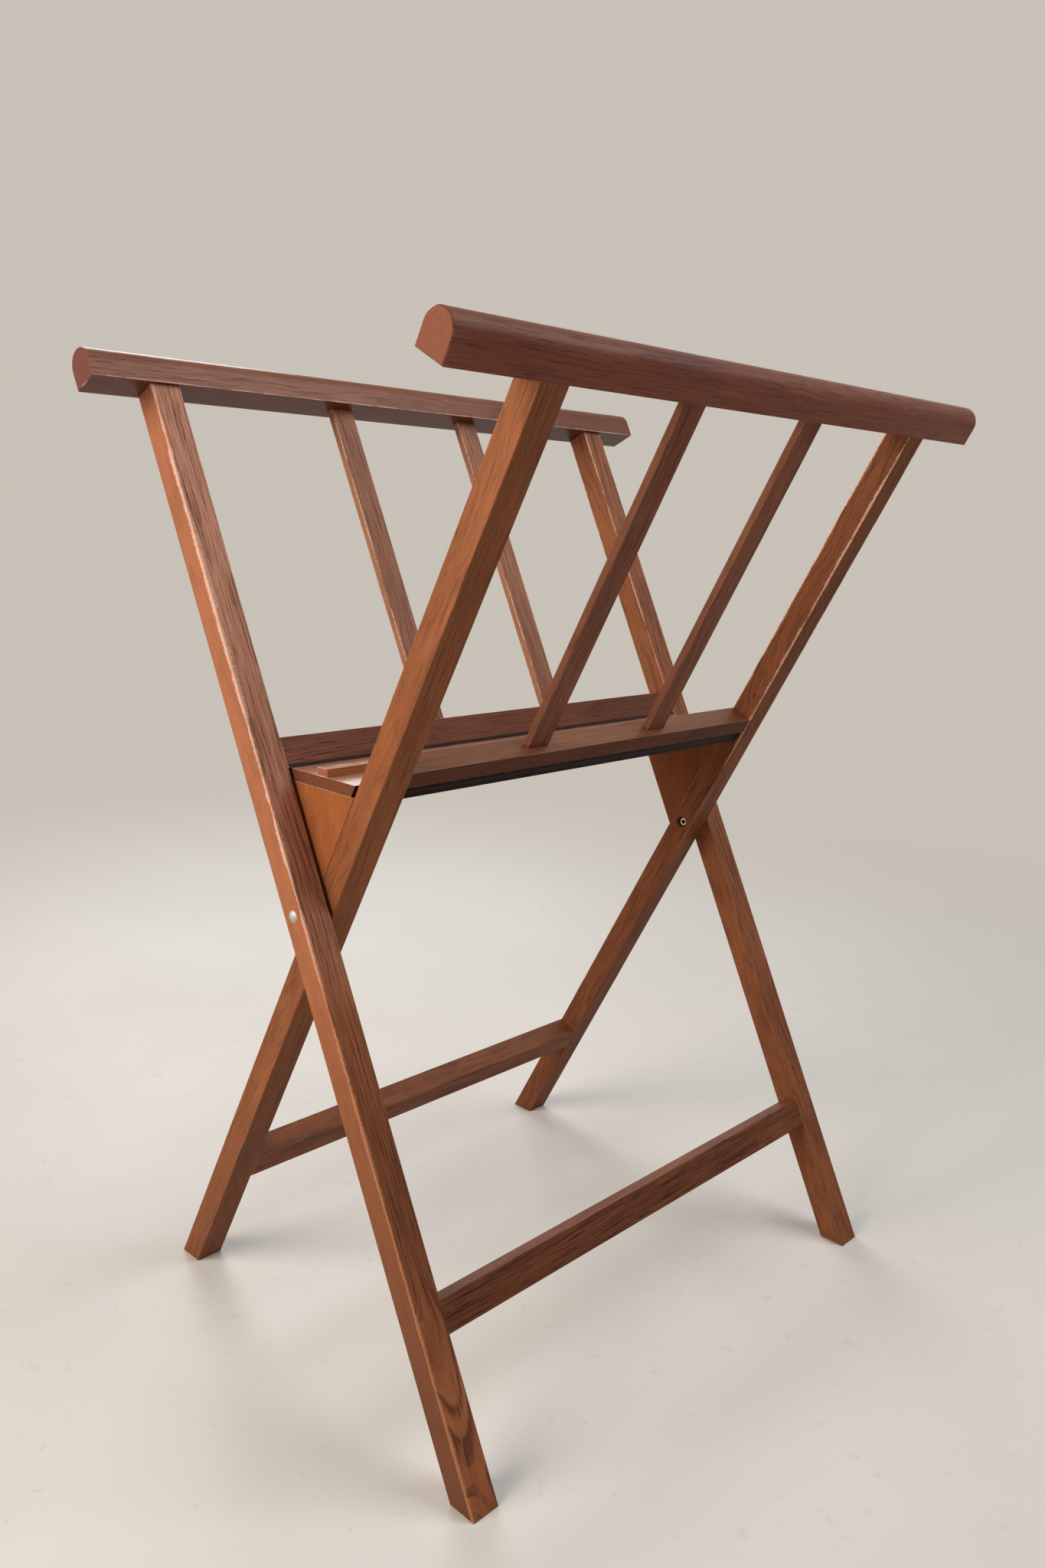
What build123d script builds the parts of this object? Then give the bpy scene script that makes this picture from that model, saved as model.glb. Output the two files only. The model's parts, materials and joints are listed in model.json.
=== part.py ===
from build123d import *
import os
from math import cos, radians, sin, tan

os.makedirs("parts", exist_ok=True)

# Whole rack, millimetres and degrees
frame_width = 500.0          # outer frame over its legs, along Y
pivot_height = 370.0         # pivot axis above the floor
lean_angle = 27.0            # each frame from the upright when it stands open
leg_reach = 399.0            # pivot to the underside of the top rail, along the leg

# Oak stock
stock_deep = 21.0            # legs and cross rails, across the plane of their frame
stock_wide = 23.5            # legs and cross rails, in the plane of their frame
arris = 0.9                  # rounding of the long edges
foot_arris = 0.6             # bevel round the sawn feet

# Top rails
rail_length = 594.0
rail_wide = 24.5
rail_side = 14.0             # straight part of the rail's sides
rail_crown = 12.0            # height of the rounded top above the sides
rail_end_arris = 0.7

# Cross rails and spindles
stretcher_rise = 111.25      # foot of a leg to the underside of the stretcher, along the leg
spindle_wide = 21.5
spindle_thick = 6.3
spindle_offset = 71.0        # spindle centre from the middle of the rack
spindle_stub = 10.0          # part of a spindle inside each mortise
spindle_arris = 0.6

# Shelf, strip and end panels
shelf_rise = 96.5            # top of the shelf above the pivot axis
shelf_thick = 9.0
shelf_recess = 3.0           # edge of the shelf behind the face of the mid rail
notch_gap = 2.8              # shelf to the leg in the corner notch
notch_end_gap = 1.2
panel_reveal = 3.0           # end panel beyond the line of the outer leg
strip_wide = 11.0
strip_high = 6.0
strip_offset = -2.0          # strip centre from the pivot line, along X
strip_arris = 0.5

# Pivots
frame_gap = 3.0              # inner face of an outer leg to outer face of an inner leg
rivet_radius = 2.4
rivet_head_radius = 4.5
rivet_head_high = 1.9
rivet_roll_radius = 3.4
rivet_roll_high = 1.8
rivet_bore_radius = 1.8
rivet_bore_deep = 7.0
roll_arris = 0.7
recess_radius = 5.3
recess_deep = 5.5
washer_radius = 6.0

# Dowels and pins
dowel_radius = 3.0
dowel_length = 24.0
dowel_pitch = 10.0
dowel_bevel = 0.8
mid_dowel_drop = 7.5         # dowel centre below the top of the mid rail
shelf_dowel_bite = 6.0       # part of a dowel inside the shelf
pin_radius = 0.8
pin_length = 12.0
pin_set = 0.4                # pin head below the top of the strip

# Clearances
glue_gap = 0.05              # round a glued or pressed-in piece
end_gap = 0.5                # beyond the end of a dowel
run_gap = 0.06               # inner leg on the shank of its rivet
side_play = 0.3              # between faces that turn past each other
stop_gap = 0.3               # outer mid rail above the shelf when the rack stands open

# Shares of the joint between an end panel and its leg, and of the panel's top edge
panel_dowel_shares = (0.34, 0.74)
shelf_dowel_shares = (0.26, 0.62)
pin_shares = (-0.8, 0.0, 0.8)

# Values that follow from the ones above
lean = radians(lean_angle)
half_deep = stock_deep / 2
outer_half = frame_width / 2
inner_half = outer_half - stock_wide - frame_gap
foot_reach = pivot_height / cos(lean) + stock_deep * tan(lean)
shelf_height = pivot_height + shelf_rise
stretcher_low = stretcher_rise - pivot_height / cos(lean)
panel_top = shelf_rise - shelf_thick
panel_out = half_deep + panel_reveal
mid_foot = (shelf_rise - half_deep * sin(lean)) / cos(lean)
mid_top = mid_foot + stock_wide
panel_joint = (panel_top - half_deep * sin(lean)) / cos(lean)
rail_shift = rail_wide / 2 - half_deep
clear = frame_width          # size of a cutting block well beyond the rack
OUTER, INNER = 1, -1         # local +X of the outer frame faces the trough, -X of the inner one
ENDS = (("front", -1), ("back", 1))


def block(x, y, z):
    """Box between two limits on each axis."""
    low = [min(pair) for pair in (x, y, z)]
    size = [abs(pair[1] - pair[0]) for pair in (x, y, z)]
    corner = (Align.MIN, Align.MIN, Align.MIN)
    return Pos(*low) * Box(*size, align=corner)


def rod(center, axis, radius, length):
    """Cylinder round a centre point, along X, Y or Z."""
    turn = {"X": Rot(0, 90, 0), "Y": Rot(90, 0, 0), "Z": Rot(0, 0, 0)}[axis]
    return Pos(*center) * turn * Cylinder(radius, length)


def ease(solid, axis, size):
    """Round the edges that run along one axis."""
    return fillet(solid.edges().filter_by(axis), size)


def stand(side, solid):
    """Turn a piece from the frame's own axes into the leaning frame."""
    return Pos(0, 0, pivot_height) * Rot(0, -side * lean_angle, 0) * solid


def half_width(side):
    return outer_half if side == OUTER else inner_half


def leg_limits(side, end):
    """Outer and inner face of a leg along Y."""
    return end * half_width(side), end * (half_width(side) - stock_wide)


def dowel(spot):
    """Beech dowel with bevelled ends at a (centre, axis) spot."""
    center, axis = spot
    peg = rod(center, axis, dowel_radius, dowel_length)
    return chamfer(peg.edges().filter_by(GeomType.CIRCLE), dowel_bevel)


def dowel_hole(spot):
    center, axis = spot
    return rod(center, axis, dowel_radius + glue_gap, dowel_length + 2 * end_gap)


def drill(solid, spots):
    for spot in spots:
        solid -= dowel_hole(spot)
    return solid


# Places of the dowels, in the axes of their frame
def top_spots(side, end):
    middle = sum(leg_limits(side, end)) / 2
    return [((0, middle + k * dowel_pitch / 2, leg_reach), "Z") for k in (-1, 1)]


def mid_spots(side, end):
    face = leg_limits(side, end)[1]
    return [((k * dowel_pitch / 2, face, mid_top - mid_dowel_drop), "Y") for k in (-1, 1)]


def stretcher_spots(side, end):
    face = leg_limits(side, end)[1]
    level = stretcher_low + stock_wide / 2
    return [((k * dowel_pitch / 2, face, level), "Y") for k in (-1, 1)]


def panel_spots(end):
    middle = sum(leg_limits(INNER, end)) / 2
    return [((-half_deep, middle, share * panel_joint), "X") for share in panel_dowel_shares]


def both(spots, side):
    return [spot for _, end in ENDS for spot in spots(side, end)]


# Pieces that both frames have
def spindle_blank(place, grow=0):
    across = spindle_thick / 2 + grow
    along = spindle_wide / 2 + grow
    low = mid_top - spindle_stub - grow
    high = leg_reach + spindle_stub + grow
    middle = place * spindle_offset
    return block((-across, across), (middle - along, middle + along), (low, high))


def spindle(side, place):
    return stand(side, ease(spindle_blank(place), Axis.Z, spindle_arris))


def mortise(solid):
    for _, place in ENDS:
        solid -= spindle_blank(place, glue_gap)
    return solid


def leg_tools(side, end):
    """Dowel holes, pivot hole and rivet recess of one leg, in the axes of its frame."""
    spots = top_spots(side, end) + mid_spots(side, end) + stretcher_spots(side, end)
    if side == INNER:
        spots += panel_spots(end)
    bore = rivet_radius + (glue_gap if side == OUTER else run_gap)
    tools = [dowel_hole(spot) for spot in spots]
    tools.append(rod((0, 0, 0), "Y", bore, 2 * frame_width))
    if side == INNER:
        face = leg_limits(side, end)[1]
        tools.append(rod((0, face, 0), "Y", recess_radius, 2 * recess_deep))
    return tools


def leg(side, end):
    blank = block((-half_deep, half_deep), leg_limits(side, end), (-foot_reach, leg_reach))
    placed = stand(side, blank) - block((-clear, clear), (-clear, clear), (-clear, 0))
    foot = placed.faces().sort_by(Axis.Z)[0]
    placed = chamfer(foot.edges(), foot_arris)
    placed = fillet([edge for edge in placed.edges() if edge.length > leg_reach], arris)
    for tool in leg_tools(side, end):
        placed -= stand(side, tool)
    return placed


def top_rail(side):
    upright = Rectangle(rail_wide, rail_side, align=(Align.CENTER, Align.MIN))
    crown = Pos(0, rail_side) * Ellipse(rail_wide / 2, rail_crown)
    section = Plane.XZ * (upright + crown)
    bar = extrude(section, amount=rail_length / 2, both=True)
    ends = bar.faces().sort_by(Axis.Y)
    bar = chamfer(ends[0].edges() + ends[-1].edges(), rail_end_arris)
    bar = Pos(side * rail_shift, 0, leg_reach) * bar
    return stand(side, mortise(drill(bar, both(top_spots, side))))


def cross_bar(side, low, high):
    """Bar of leg stock between the inner faces of a pair of legs."""
    inside = half_width(side) - stock_wide
    bar = block((-half_deep, half_deep), (-inside, inside), (low, high))
    return ease(bar, Axis.Y, arris)


def mid_rail(side):
    """Cross rail at the shelf, its underside planed level."""
    low = mid_foot - stock_deep * tan(lean)
    bar = mortise(drill(cross_bar(side, low, mid_top), both(mid_spots, side)))
    level = shelf_height + (stop_gap if side == OUTER else 0)
    return stand(side, bar) - block((-clear, clear), (-clear, clear), (0, level))


def stretcher(side):
    bar = cross_bar(side, stretcher_low, stretcher_low + stock_wide)
    return stand(side, drill(bar, both(stretcher_spots, side)))


# Shelf group on the inner frame
def outer_line(rise, reach):
    """X of the line that runs beside an outer leg, at a height above the pivot."""
    return (-reach - rise * sin(lean)) / cos(lean)


def inner_line(rise, reach):
    """X of the line that runs beside an inner leg, at a height above the pivot."""
    return (reach + rise * sin(lean)) / cos(lean)


def prism(corners, y):
    """Prism along Y from corners given as (X, height above the pivot)."""
    face = make_face(Polyline(*[(x, 0, z) for x, z in corners], close=True))
    low, high = min(y), max(y)
    solid = Solid.extrude(face.face(), Vector(0, high - low, 0))
    return Pos(0, low, pivot_height) * Part(solid.wrapped)


def shelf_spots(end):
    """Centres of the dowels between the shelf and an end panel."""
    left = outer_line(panel_top, panel_out)
    right = inner_line(panel_top, -half_deep)
    middle = sum(leg_limits(INNER, end)) / 2
    level = pivot_height + panel_top + shelf_dowel_bite - dowel_length / 2
    return [((left + share * (right - left), middle, level), "Z") for share in shelf_dowel_shares]


def end_panel(end):
    tip = ((half_deep - panel_out) / (2 * sin(lean)), -(half_deep + panel_out) / (2 * cos(lean)))
    corners = [(outer_line(panel_top, panel_out), panel_top),
               (inner_line(panel_top, -half_deep), panel_top), (tip[1], tip[0])]
    panel = drill(prism(corners, leg_limits(INNER, end)), shelf_spots(end))
    for spot in panel_spots(end):
        panel -= stand(INNER, dowel_hole(spot))
    return panel


def shelf():
    top, low = shelf_rise, panel_top
    edge = half_deep - shelf_recess
    corners = [(outer_line(low, panel_out), low), (outer_line(top, panel_out), top),
               (inner_line(top, edge), top), (inner_line(low, edge), low)]
    board = prism(corners, (-inner_half, inner_half))
    for _, end in ENDS:
        inside = end * (inner_half - stock_wide - notch_end_gap)
        notch = block((-half_deep - notch_gap, clear), (inside, end * clear), (0, clear))
        board = drill(board - stand(INNER, notch), shelf_spots(end))
    return board - pin_holes()


def pin_places():
    head = shelf_height + strip_high - pin_set
    return [(strip_offset, share * inner_half, head - pin_length / 2) for share in pin_shares]


def pin_holes():
    holes = [rod(place, "Z", pin_radius + glue_gap, pin_length) for place in pin_places()]
    return holes[0] + holes[1:]


def shelf_strip():
    x = (strip_offset - strip_wide / 2, strip_offset + strip_wide / 2)
    bar = block(x, (-inner_half, inner_half), (shelf_height, shelf_height + strip_high))
    upper = bar.faces().sort_by(Axis.Z)[-1]
    bar = fillet(upper.edges().filter_by(Axis.Y), strip_arris)
    wells = [rod((px, py, shelf_height + strip_high), "Z", pin_radius + glue_gap, 2 * pin_set)
             for px, py, _ in pin_places()]
    return bar - pin_holes() - wells


def strip_pins():
    return [rod(place, "Z", pin_radius, pin_length) for place in pin_places()]


# Pivots, which ride with the outer frame
def rivet(end):
    """Long tubular rivet: domed head outside, rolled end in the recess of the inner leg."""
    seat = end * (inner_half - stock_wide + recess_deep)
    head_seat = end * outer_half
    ball = (rivet_head_radius ** 2 + rivet_head_high ** 2) / (2 * rivet_head_high)
    dome = Pos(0, head_seat + end * (rivet_head_high - ball), 0) * Sphere(ball)
    dome &= block((-clear, clear), (head_seat, end * clear), (-clear, clear))
    roll_seat = seat - end * side_play
    tail = roll_seat - end * rivet_roll_high
    shank = rod((0, (head_seat + tail) / 2, 0), "Y", rivet_radius, abs(head_seat - tail))
    roll = rod((0, (roll_seat + tail) / 2, 0), "Y", rivet_roll_radius, rivet_roll_high)
    body = roll + shank
    body -= rod((0, tail, 0), "Y", rivet_bore_radius, 2 * rivet_bore_deep)
    rim = body.faces().sort_by(Axis.Y)[0 if end > 0 else -1]
    body = fillet(rim.edges(), roll_arris)
    return Pos(0, 0, pivot_height) * (body + dome)


def spacer(end):
    thick = frame_gap - side_play
    center = (0, end * (outer_half - stock_wide - thick / 2), pivot_height)
    return rod(center, "Y", washer_radius, thick) - rod(
        center, "Y", rivet_radius + glue_gap, 2 * thick)


def group(solids):
    return Compound(children=[Part(solid.wrapped) for item in solids for solid in item.solids()])


def save(name, shape):
    shape.label = name
    export_step(shape, "parts/" + name + ".step")


def dowel_group(side, spots):
    return group([stand(side, dowel(spot)) for spot in spots])


def build_frame(side, name):
    for label, end in ENDS:
        save(name + "_leg_" + label, leg(side, end))
        save(name + "_spindle_" + label, spindle(side, end))
    save(name + "_top_rail", top_rail(side))
    save(name + "_mid_rail", mid_rail(side))
    save(name + "_stretcher", stretcher(side))
    save(name + "_top_dowels", dowel_group(side, both(top_spots, side)))
    save(name + "_mid_dowels", dowel_group(side, both(mid_spots, side)))
    save(name + "_stretcher_dowels", dowel_group(side, both(stretcher_spots, side)))


def build_shelf():
    for label, end in ENDS:
        save("end_panel_" + label, end_panel(end))
    save("shelf", shelf())
    save("shelf_strip", shelf_strip())
    save("panel_dowels", dowel_group(INNER, [s for _, end in ENDS for s in panel_spots(end)]))
    save("shelf_dowels", group([dowel(s) for _, end in ENDS for s in shelf_spots(end)]))
    save("strip_pins", group(strip_pins()))


def build_pivots():
    save("pivot_rivets", group([rivet(end) for _, end in ENDS]))
    save("pivot_washers", group([spacer(end) for _, end in ENDS]))


build_frame(OUTER, "outer")
build_frame(INNER, "inner")
build_shelf()
build_pivots()
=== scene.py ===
import json
import math

import bpy
from bpy.props import FloatProperty, FloatVectorProperty, PointerProperty
from mathutils import Matrix, Vector


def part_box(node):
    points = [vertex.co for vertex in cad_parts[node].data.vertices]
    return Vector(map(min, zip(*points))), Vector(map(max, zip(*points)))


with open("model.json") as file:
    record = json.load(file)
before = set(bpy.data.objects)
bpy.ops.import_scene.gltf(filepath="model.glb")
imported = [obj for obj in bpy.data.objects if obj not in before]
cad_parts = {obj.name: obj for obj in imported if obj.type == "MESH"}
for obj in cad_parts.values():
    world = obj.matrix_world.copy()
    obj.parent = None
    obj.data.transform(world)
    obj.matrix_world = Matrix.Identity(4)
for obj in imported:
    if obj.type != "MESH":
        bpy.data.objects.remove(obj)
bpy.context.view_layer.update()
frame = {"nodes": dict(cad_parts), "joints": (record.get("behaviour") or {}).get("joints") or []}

bl_info = {
    "name": "Folding Oak Rack",
    "version": (1, 0, 0),
    "blender": (4, 5, 0),
    "location": "View3D > Sidebar > Rack",
    "description": "Finishes the folding oak magazine rack and sets it on a pale studio floor",
    "category": "Object",
}

PIVOT = Vector(frame["joints"][0]["pos_m"])
MM = 1000.0
Y, Z = 1, 2


def middle(node, axis):
    """Centre of a node's box along one axis."""
    low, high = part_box(node)
    return (low[axis] + high[axis]) / 2


def half(node, axis):
    """Half the size of a node's box along one axis."""
    low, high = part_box(node)
    return (high[axis] - low[axis]) / 2


# How far a frame leans from upright, and the side that each frame leans to
LEAN = math.radians(27.0)
OUTER, INNER = 1, -1

# Sections of the oak pieces, in metres: wide along the rack, deep through their frame, high up its legs
LEG_WIDE = 2 * half("outer_leg_front", Y)
LEG_DEEP = 0.021
SPINDLE_WIDE = 2 * half("outer_spindle_front", Y)
SPINDLE_DEEP = 0.0063
TOP_RAIL_DEEP = 0.0245
TOP_RAIL_HIGH = 0.026
RAIL_HIGH = 0.0235

# Places up a leg from the pivot, in metres: underside of the top rail, tops of the mid rail and stretcher
LEG_REACH = 0.399
MID_RAIL_TOP = 0.12645
STRETCHER_TOP = -0.2805

# Half size that keeps the worn band off the ends of a piece, in metres
ENDLESS = 1.0

# Radius of the hole in each rivet's rolled end and height of its domed head, in metres
BORE_RADIUS = 0.0018
RIVET_HEAD = 0.0019

# Along a leg from the pivot, in millimetres: its foot and its top, and how far the stain wavers
LEG_SPAN = (-430.0, 400.0)
STAIN_WAVER = 120.0

# Along a rail, in millimetres: where the painted shade toward the far end starts, and where it is deepest
FAR_SHADE_SPAN = (-60.0, 300.0)

# Part of a normal on one axis, over which a face passes into the next
TURN = (0.6, 0.8)

# How much of the stain is gone in a worn line, and how soon the line shows as the wear grows
WORN_COVER = 0.92
WORN_GAIN = 1.6

# In metres: where the lamps point, where the floor starts and ends its fade, and how far it reaches
LAMP_AIM = (0, 0, 0.4)
FADE = (0.75, 2.0)
FLOOR_REACH = 12.0

# Camera at the photograph's viewing angle: metres, radians, and pixels of the photograph
CAMERA_PLACE = (0.6799, -0.7434, 0.6524)
CAMERA_YAW = 0.8087
CAMERA_PITCH = -0.2377
CAMERA_ROLL = 0.0428
CAMERA_FOCUS = 1625.8361
CAMERA_MIDDLE = (671.4, 1060.2)
IMAGE_SIZE = (1365, 2048)
SENSOR = 36.0

# The Mix node's two inputs and its output, for each kind of value
MIX_SOCKETS = {"FLOAT": (2, 3, 0), "VECTOR": (4, 5, 1), "RGBA": (6, 7, 2)}

# Highest value of a stain, which a colour ramp holds as 1
RAMP_LIMIT = 2.0

# How each leg was cut, stained and worn. The heart is the middle of the log and the bow is the strength,
# place and reach of an arched figure, in millimetres. Each stop of the stain, from the foot to the top, is
# its place from 0 to 1, the stain on the faces across X and on those across Y, and the wear of the arrises.
# The tone and the stain on each face also hold painted light and shade: the far legs and the feet are
# darker, and the faces across X are paler and pinker high up with painted sheen.
LEG_LOOKS = {
    "outer_leg_front": dict(
        heart=(9.0, -420.0, 0.0), spacing=2.4, wander=0.35, bow=(9.0, -345.0, 60.0),
        show=(0.85, 0.12, 1.0), tone=(1.02, 1.07, 1.45), wear=2.2, worn_side=OUTER, gloss=0.08,
        stain=((0.0, 0.95, 0.25, 0.45), (0.1, 1.05, 0.35, 0.45), (0.28, 0.57, 0.6, 0.5),
               (0.44, 1.12, 1.04, 0.55), (0.55, 1.4, 1.07, 1.0), (0.8, 1.64, 1.1, 1.0))),
    "outer_leg_back": dict(
        heart=(-14.0, 90.0, 0.0), spacing=2.6, show=(0.8, 0.3, 1.0), tone=(0.87, 0.95, 1.3), wear=0.8,
        gloss=0.06,
        stain=((0.0, 0.95, 0.75, 0.15), (0.4, 1.05, 1.0, 0.35), (0.9, 1.15, 1.05, 1.0))),
    "inner_leg_front": dict(
        heart=(60.0, -90.0, 0.0), spacing=3.0, show=(0.42, 0.26, 1.0), tone=(0.9, 0.97, 1.25), wear=0.2,
        worn_side=INNER, gloss=0.06,
        stain=((0.0, 0.65, 0.65, 1.0), (0.22, 0.62, 0.85, 1.0), (0.5, 0.9, 0.9, 1.0),
               (0.8, 0.88, 1.04, 1.0), (1.0, 0.7, 1.04, 1.0))),
    "inner_leg_back": dict(
        heart=(-50.0, 120.0, 0.0), spacing=2.6, show=(0.6, 0.5, 1.0), tone=(0.64, 0.67, 0.9), wear=1.3,
        gloss=0.05,
        stain=((0.0, 0.85, 0.75, 0.1), (0.45, 1.05, 1.0, 0.2), (0.7, 0.93, 1.0, 0.8),
               (1.0, 0.86, 1.0, 1.0))),
}

# Tone of each pair of spindles, which also holds painted light and shade; the inner spindles' faces across
# Y are darker with painted shade
SPINDLE_LOOKS = {
    "outer_spindle": dict(tone=(1.18, 1.62, 2.9), wear=0.4, gloss=0.12),
    "inner_spindle": dict(tone=(0.68, 0.81, 1.5), wear=0.1, gloss=0.05,
                          stain=((0.0, 1.0, 0.8, 1.0), (1.0, 1.0, 0.8, 1.0))),
}

# Kinds of rail: middle and half height up the legs, half depth, and rings on each face
RAIL_KINDS = {
    "top_rail": (LEG_REACH + TOP_RAIL_HIGH / 2, TOP_RAIL_HIGH / 2, TOP_RAIL_DEEP / 2, (0.42, 0.3, 0.3)),
    "mid_rail": (MID_RAIL_TOP - RAIL_HIGH / 2, RAIL_HIGH / 2, LEG_DEEP / 2, (0.5, 0.3, 0.3)),
    "stretcher": (STRETCHER_TOP - RAIL_HIGH / 2, RAIL_HIGH / 2, LEG_DEEP / 2, (0.95, 0.3, 0.4)),
}

# What the rails of one frame share: the middle of their log, in millimetres, and the colour of their ends
RAIL_LOGS = {
    OUTER: dict(heart=(70.0, 380.0, 0.0), ends=(0.155, 0.046, 0.033)),
    INNER: dict(heart=(-70.0, 260.0, 0.0), ends=(0.27, 0.092, 0.052)),
}

# Tone of each rail, which also holds painted light and shade: the inner rails and both stretchers are
# darker. The other entries add painted shade beneath, on the sides across X, along the lower edge and
# toward the far end.
RAIL_LOOKS = {
    "outer_top_rail": dict(tone=(0.88, 0.88, 1.25), wear=0.5, underside_shade=0.3, far=0.5, gloss=0.2, rough=-0.14),
    "outer_mid_rail": dict(tone=(0.69, 0.74, 1.25), wear=0.3, underside_shade=0.04, shadow_seam=4.0, far=0.45, gloss=0.12),
    "outer_stretcher": dict(tone=(0.59, 0.63, 0.95), wear=0.1, gloss=0.06),
    "inner_top_rail": dict(tone=(0.66, 0.66, 1.35), wear=0.2, underside_shade=0.75, far=0.1, gloss=0.07, rough=-0.14),
    "inner_mid_rail": dict(tone=(0.74, 0.8, 1.1), wear=0.1, side=0.35, top=0.6, gloss=0.05),
    "inner_stretcher": dict(tone=(0.74, 0.8, 1.1), wear=0.2, top=0.6, gloss=0.06),
}

# The strip's pale, pink tone is partly a painted reflection on its top
SHELF_LOOKS = {
    "shelf": dict(tone=(0.9, 0.9, 0.9), ends=(0.17, 0.06, 0.03)),
    "shelf_strip": dict(tone=(1.3, 1.6, 2.2), ends=(0.34, 0.12, 0.06)),
}

# The back panel's darker tone is painted shade
PANEL_TONES_AND_SHADE = {"end_panel_front": (1.03, 1.03, 1.1), "end_panel_back": (0.58, 0.56, 0.6)}


def lean_side(name):
    """The side that a piece leans to, by the frame in its name."""
    return OUTER if name.startswith("outer") else INNER


def opaque(shade, share=1.0):
    """A colour with full cover, at a share of its brightness."""
    return (*(share * part for part in shade), 1.0)


def color(name, default, note):
    """Property for a colour."""
    return FloatVectorProperty(name=name, description=note, default=default, size=3, min=0.0,
                               max=1.0, subtype="COLOR")


def length(name, default, note):
    """Property for a length in metres."""
    return FloatProperty(name=name, description=note, default=default, min=0.0, unit="LENGTH")


def factor(name, default, note):
    """Property for a share from 0 to 1."""
    return FloatProperty(name=name, description=note, default=default, min=0.0, max=1.0,
                         subtype="FACTOR")


def power(name, default, note):
    """Property for a lamp's power in watts."""
    return FloatProperty(name=name, description=note, default=default, min=0.0, unit="POWER")


class RackOak(bpy.types.PropertyGroup):
    """Colours, grain and wear of the stained oak, and of its painted light and shade"""
    pale: color("Pale wood", (0.42, 0.137, 0.040), "Stained oak between its growth rings")
    deep: color("Deep wood", (0.23, 0.066, 0.020), "Darker patches and fibres of the stained oak")
    ring: color("Growth rings", (0.11, 0.033, 0.017), "Stain in the open spring rings")
    # Also the colour that the painted shade on the rails' sides, undersides and far ends passes to
    pore: color("Pores", (0.06, 0.018, 0.010), "Stain gathered in the pores")
    end: color("End grain", (0.42, 0.15, 0.075), "Sawn ends of the legs, spindles and end panels")
    worn: color("Worn arrises", (0.88, 0.51, 0.38), "Edges rubbed through the stain")
    # Painted sheen with some rubbing: the paler, pinker colour high on the faces of the legs
    fading_and_sheen: color("Faded stain", (0.86, 0.42, 0.28), "Faces rubbed paler high on the legs")
    scuff: color("Scuffed arrises", (0.57, 0.225, 0.10), "Thin rubbed line low on the legs")
    # Painted shade: the shelf's long edges in shadow beneath the mid rails, and the shadow along the outer
    # mid rail's lower edge
    shade: color("Painted edge shade", (0.016, 0.0085, 0.007), "Long edges of the shelf, stained nearly black")
    # Painted shade, partly dirt: the colour that legs and spindles pass to where their stain is below
    # plain, most toward the feet
    grime_and_shade: color("Grime", (0.075, 0.03, 0.017), "Dirt rubbed into the legs near the floor")
    arris: length("Worn width", 0.0011, "Width of the rubbed band along each edge")
    sheen: factor("Roughness", 0.44, "Roughness of the thin finish")
    relief: length("Grain relief", 0.00012, "Depth of the open grain")


class RackMetal(bpy.types.PropertyGroup):
    """Finish of the rivets, washers and pins, and the painted shade in the rivets' holes"""
    zinc: color("Zinc", (0.52, 0.52, 0.51), "Bright plated rivets")
    rolled: color("Rolled end", (0.95, 0.94, 0.91), "Burnished lip of each rivet's rolled end")
    # Painted shade in the hole of each rivet's rolled end
    rivet_hole_shade: color("Hollow", (0.02, 0.018, 0.016), "Inside of each rivet's rolled end")
    dull: color("Dull steel", (0.36, 0.36, 0.37), "Washers between the legs")
    pin: color("Pins", (0.10, 0.08, 0.07), "Headless pins in the strip")
    scratch: factor("Scratches", 0.25, "How much fine handling marks roughen the metal")


class RackStage(bpy.types.PropertyGroup):
    """Floor, backdrop and lamps"""
    floor: color("Floor", (0.80, 0.757, 0.705), "Pale screed floor")
    backdrop: color("Backdrop", (0.58, 0.535, 0.475), "Plain backdrop and the far part of the floor")
    key: power("Left lamp", 66.0, "Power of the large soft lamp on the front end's side")
    window: power("Window lamp", 15.0, "Power of the small high lamp behind the rack")
    back: power("Back lamp", 11.0, "Power of the wide low lamp behind the rack")
    fill: power("Right lamp", 1.0, "Power of the weak lamp on the camera's right")
    top: power("Top lamp", 24.0, "Power of the soft lamp above the rack")
    ambient: FloatProperty(name="Ambient", description="Strength of the even light from all sides",
                           default=0.14, min=0.0)


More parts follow.
